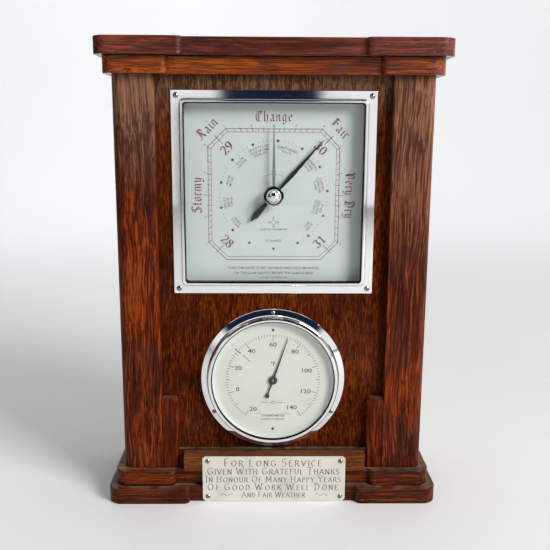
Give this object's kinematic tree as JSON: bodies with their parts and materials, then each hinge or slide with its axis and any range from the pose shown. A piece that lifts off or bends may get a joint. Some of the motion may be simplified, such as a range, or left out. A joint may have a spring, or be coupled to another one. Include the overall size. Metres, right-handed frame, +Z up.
{
  "type": "mantel aneroid barometer with thermometer",
  "caption": "Free-standing oak mantel case with a square aneroid barometer above a round dial thermometer, stepped plinth and cornice, side pilasters and a plate on the base.",
  "frame": {"origin": "middle of the base's underside", "axes": "+Z up, the dials face -Y, +X to the right seen from the front"},
  "size_m": [0.26, 0.1, 0.3556],
  "materials": {
    "oak_case": "satin",
    "oak_slabs": "satin",
    "oak_panel": "satin",
    "light_oak": "satin",
    "plywood": "matt",
    "silver_plate": "satin",
    "chrome": "polished",
    "plated_screw": "polished",
    "steel": "satin",
    "brass": "satin",
    "nickel_silver": "satin",
    "bimetal": "satin",
    "glass": "polished",
    "barometer_dial": "satin",
    "thermometer_dial": "satin",
    "black_metal": "satin",
    "pale_hand": "satin",
    "case_metal": "matt"
  },
  "bodies": {
    "case": {"aneroid_capsule": "nickel_silver", "back_panel": "plywood", "back_panel_screws": "steel", "barometer_bezel": "chrome", "barometer_bezel_screws": "plated_screw", "barometer_case": "case_metal", "barometer_dial": "barometer_dial", "barometer_glass": "glass", "base_screws": "steel", "bimetal_coil": "bimetal", "bridge_pillars": "steel", "bush_nut": "steel", "capsule_posts": "brass", "coil_anchor_post": "brass", "connecting_link": "steel", "dial_pillars": "steel", "drive_chain": "steel", "front_bridge": "brass", "glass_retainer": "black_metal", "hairspring": "steel", "instrument_panel": "oak_panel", "left_battens": "plywood", "left_pilaster": "oak_case", "left_side_board": "oak_case", "left_stub_block": "oak_case", "lower_cornice": "oak_slabs", "lower_plinth": "oak_slabs", "lower_rail": "oak_slabs", "main_lever": "brass", "main_spring": "steel", "movement_feet": "steel", "movement_plate": "brass", "plaque": "silver_plate", "plaque_backing_strip": "light_oak", "plaque_screws": "plated_screw", "rear_cock": "brass", "right_battens": "plywood", "right_pilaster": "oak_case", "right_side_board": "oak_case", "right_stub_block": "oak_case", "rocker_bracket": "brass", "set_hand_bush": "chrome", "spring_bridge": "brass", "thermometer_bezel": "chrome", "thermometer_bezel_screws": "plated_screw", "thermometer_case": "case_metal", "thermometer_dial": "thermometer_dial", "thermometer_dial_screws": "black_metal", "thermometer_glass": "glass", "upper_cornice": "oak_slabs", "upper_plinth": "oak_slabs"},
    "set_hand_group": {"set_hand_knob": "chrome", "set_hand_spindle": "brass", "set_hand": "pale_hand"},
    "pressure_hand_group": {"pressure_hand": "black_metal", "hand_arbor": "steel"},
    "rocker": {"rocker_shaft": "steel"},
    "adjuster": {"adjusting_screw": "steel"},
    "thermometer_hand": {"thermometer_pointer": "black_metal", "thermometer_arbor": "steel"}
  },
  "joints": [
    {"name": "set_hand_turn", "type": "hinge", "parent": "case", "child": "set_hand_group", "pos_m": [0, -0.035, 0.2422], "axis": [0, 1, 0], "continuous": true},
    {"name": "pressure_hand_turn", "type": "hinge", "parent": "case", "child": "pressure_hand_group", "pos_m": [0, -0.029, 0.2422], "axis": [0, 1, 0], "range_deg": [-177, 93], "deforming": ["drive_chain", "hairspring", "connecting_link"]},
    {"name": "rocker_turn", "type": "hinge", "parent": "case", "child": "rocker", "pos_m": [-0.024, -0.0122, 0.2422], "axis": [0, 0, 1], "range_deg": [-29, 16]},
    {"name": "adjusting_screw_turn", "type": "hinge", "parent": "case", "child": "adjuster", "pos_m": [0.032, 0.003, 0.2422], "axis": [0, 1, 0], "range_deg": [-360, 360]},
    {"name": "thermometer_pointer_turn", "type": "hinge", "parent": "case", "child": "thermometer_hand", "pos_m": [0, -0.036, 0.0982], "axis": [0, 1, 0], "range_deg": [-162, 124], "deforming": ["bimetal_coil"]}
  ],
  "couplings": [
    {"joint": "rocker_turn", "follows": "pressure_hand_turn", "ratio": 0.1625}
  ]
}
